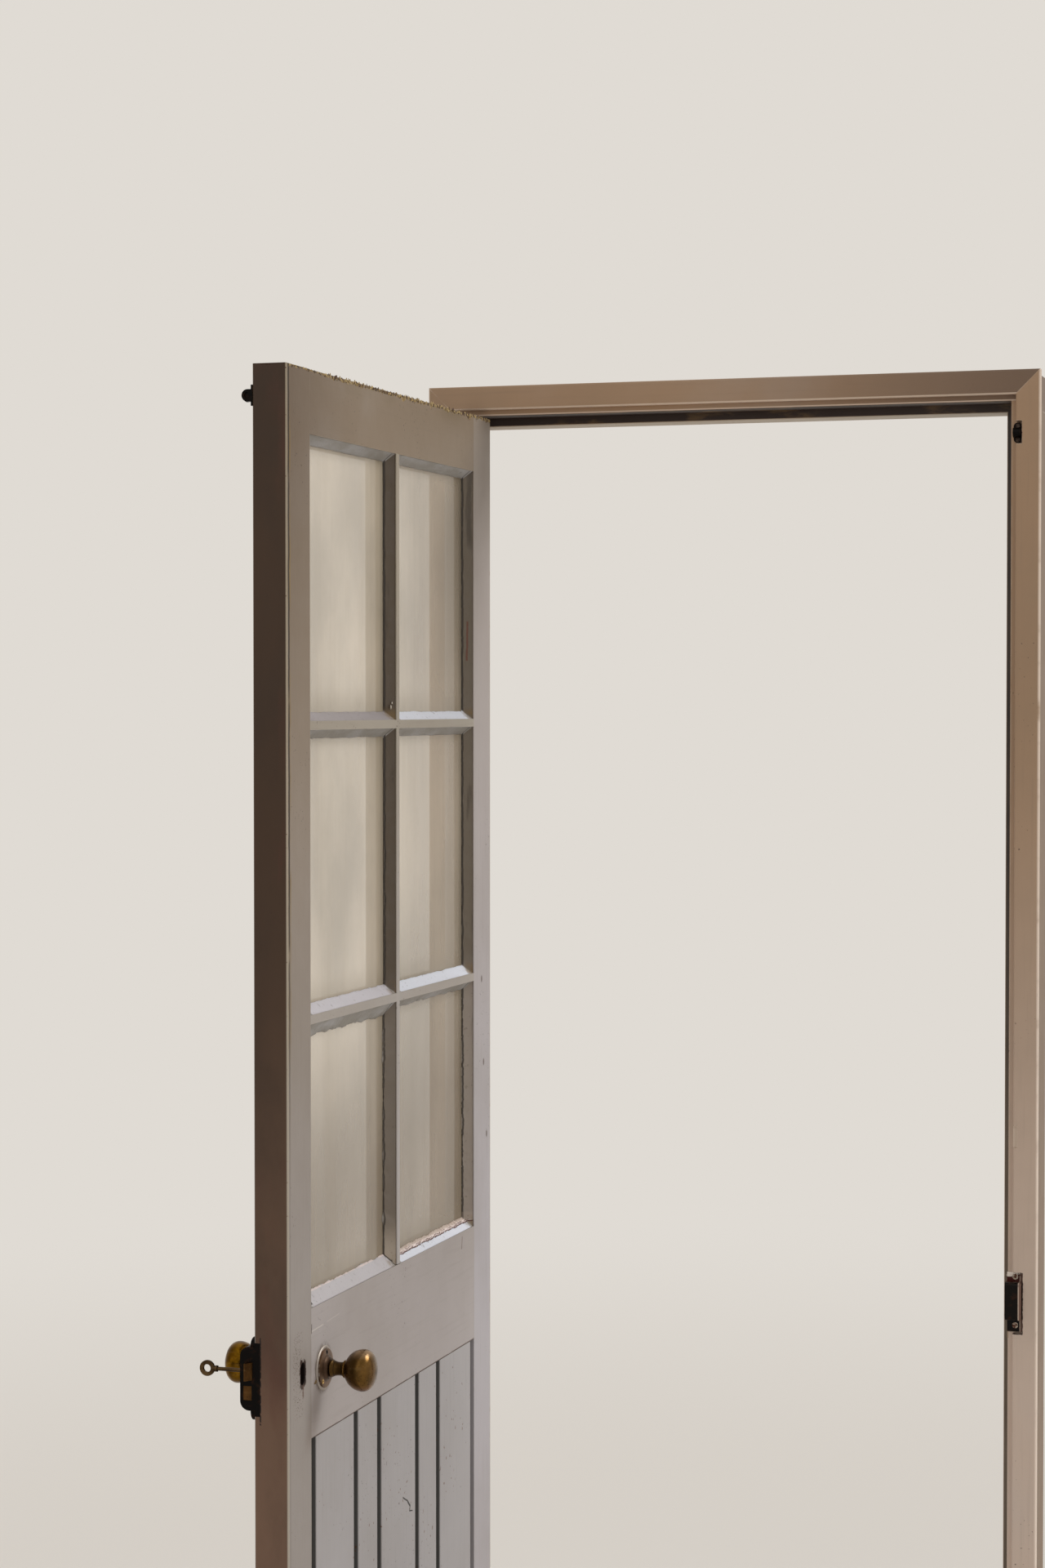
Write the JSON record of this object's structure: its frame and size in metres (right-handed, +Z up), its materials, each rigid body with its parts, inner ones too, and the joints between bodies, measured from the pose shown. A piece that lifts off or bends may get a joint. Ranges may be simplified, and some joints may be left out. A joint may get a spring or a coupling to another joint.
{
  "type": "half-glazed boarded door with frame",
  "caption": "Half-glazed door with boards below a lock rail, hung on butt hinges in a rebated frame with architraves, with a rim lock, knobs, key and surface bolt, standing open.",
  "frame": {"origin": "middle of the sill's underside, halfway through the frame's depth", "axes": "+X right along the wall as seen from the room, +Y outdoors, +Z up"},
  "size_m": [0.9513, 0.9295, 2.125],
  "materials": {
    "leaf_paint": "old off-white gloss paint on softwood, worn and dirty at the arrises",
    "frame_paint": "warm grey-cream paint on softwood, arrises rubbed pale",
    "window_glass": "clear drawn glass with a slight wave",
    "painted_putty": "linseed putty under paint, cracked in places",
    "black_iron": "black japanned iron, worn and chipped at the edges",
    "plain_iron": "plain iron, browned",
    "worn_steel": "dull worn steel",
    "aged_brass": "turned brass, tarnished olive-brown with bright handled spots"
  },
  "bodies": {
    "frame": {"frame_head": "frame_paint", "hinge_jamb": "frame_paint", "lock_jamb": "frame_paint", "sill": "frame_paint", "architrave_head": "frame_paint", "architrave_hinge_side": "frame_paint", "architrave_lock_side": "frame_paint", "lock_keep": "black_iron", "bolt_keep": "black_iron", "hinge_pins": "plain_iron", "frame_screws": "worn_steel", "hinge_frame_flap_bottom": "plain_iron", "hinge_frame_flap_middle": "plain_iron", "hinge_frame_flap_top": "plain_iron"},
    "leaf": {"closing_stile": "leaf_paint", "hinge_stile": "leaf_paint", "top_rail": "leaf_paint", "lock_rail": "leaf_paint", "bottom_rail": "leaf_paint", "glazing_bar_upright": "leaf_paint", "glazing_bar_lower_hinge_side": "leaf_paint", "glazing_bar_lower_lock_side": "leaf_paint", "glazing_bar_upper_hinge_side": "leaf_paint", "glazing_bar_upper_lock_side": "leaf_paint", "board_wide_1": "leaf_paint", "board_narrow_1": "leaf_paint", "board_wide_2": "leaf_paint", "board_narrow_2": "leaf_paint", "board_wide_3": "leaf_paint", "glass_lower_hinge_side": "window_glass", "glass_lower_lock_side": "window_glass", "glass_middle_hinge_side": "window_glass", "glass_middle_lock_side": "window_glass", "glass_upper_hinge_side": "window_glass", "glass_upper_lock_side": "window_glass", "putty_lower_hinge_side": "painted_putty", "putty_lower_lock_side": "painted_putty", "putty_middle_hinge_side": "painted_putty", "putty_middle_lock_side": "painted_putty", "putty_upper_hinge_side": "painted_putty", "putty_upper_lock_side": "painted_putty", "lock_case": "black_iron", "lock_cap": "plain_iron", "lock_springs": "worn_steel", "knob_rose": "aged_brass", "rose_screw": "aged_brass", "bolt_plate": "black_iron", "leaf_screws": "worn_steel", "hinge_leaf_flap_bottom": "plain_iron", "hinge_leaf_flap_middle": "plain_iron", "hinge_leaf_flap_top": "plain_iron"},
    "knobs": {"knob_outer": "aged_brass", "knob_inner": "aged_brass", "spindle": "plain_iron", "follower": "plain_iron"},
    "latch": {"latch_bolt": "aged_brass"},
    "lock_key": {"key": "worn_steel"},
    "bolt": {"dead_bolt": "aged_brass"},
    "surface_bolt": {"top_bolt": "black_iron"}
  },
  "joints": [
    {"name": "leaf_swing", "type": "hinge", "parent": "frame", "child": "leaf", "pos_m": [-0.408, -0.055, 0], "axis": [0, 0, 1], "range_deg": [-60, 90]},
    {"name": "knob_turn", "type": "hinge", "parent": "leaf", "child": "knobs", "pos_m": [-0.359, -0.7455, 0.808], "axis": [-1, 0, 0], "range_deg": [0, 45], "stiffness_Nm_per_rad": 0.3, "springref_deg": -28.65},
    {"name": "latch_slide", "type": "slide", "parent": "leaf", "child": "latch", "axis": [0, 1, 0], "range_m": [0, 0.011]},
    {"name": "key_turn", "type": "hinge", "parent": "leaf", "child": "lock_key", "pos_m": [-0.42, -0.8175, 0.814], "axis": [-1, 0, 0], "range_deg": [0, 60]},
    {"name": "bolt_slide", "type": "slide", "parent": "leaf", "child": "bolt", "axis": [0, -1, 0], "range_m": [0, 0.012]},
    {"name": "surface_bolt_slide", "type": "slide", "parent": "leaf", "child": "surface_bolt", "axis": [0, -1, 0], "range_m": [0, 0.018]}
  ],
  "couplings": [
    {"joint": "latch_slide", "follows": "knob_turn", "m_per_rad": 0.014005},
    {"joint": "key_turn", "follows": "bolt_slide", "rad_per_m": 87.266}
  ]
}
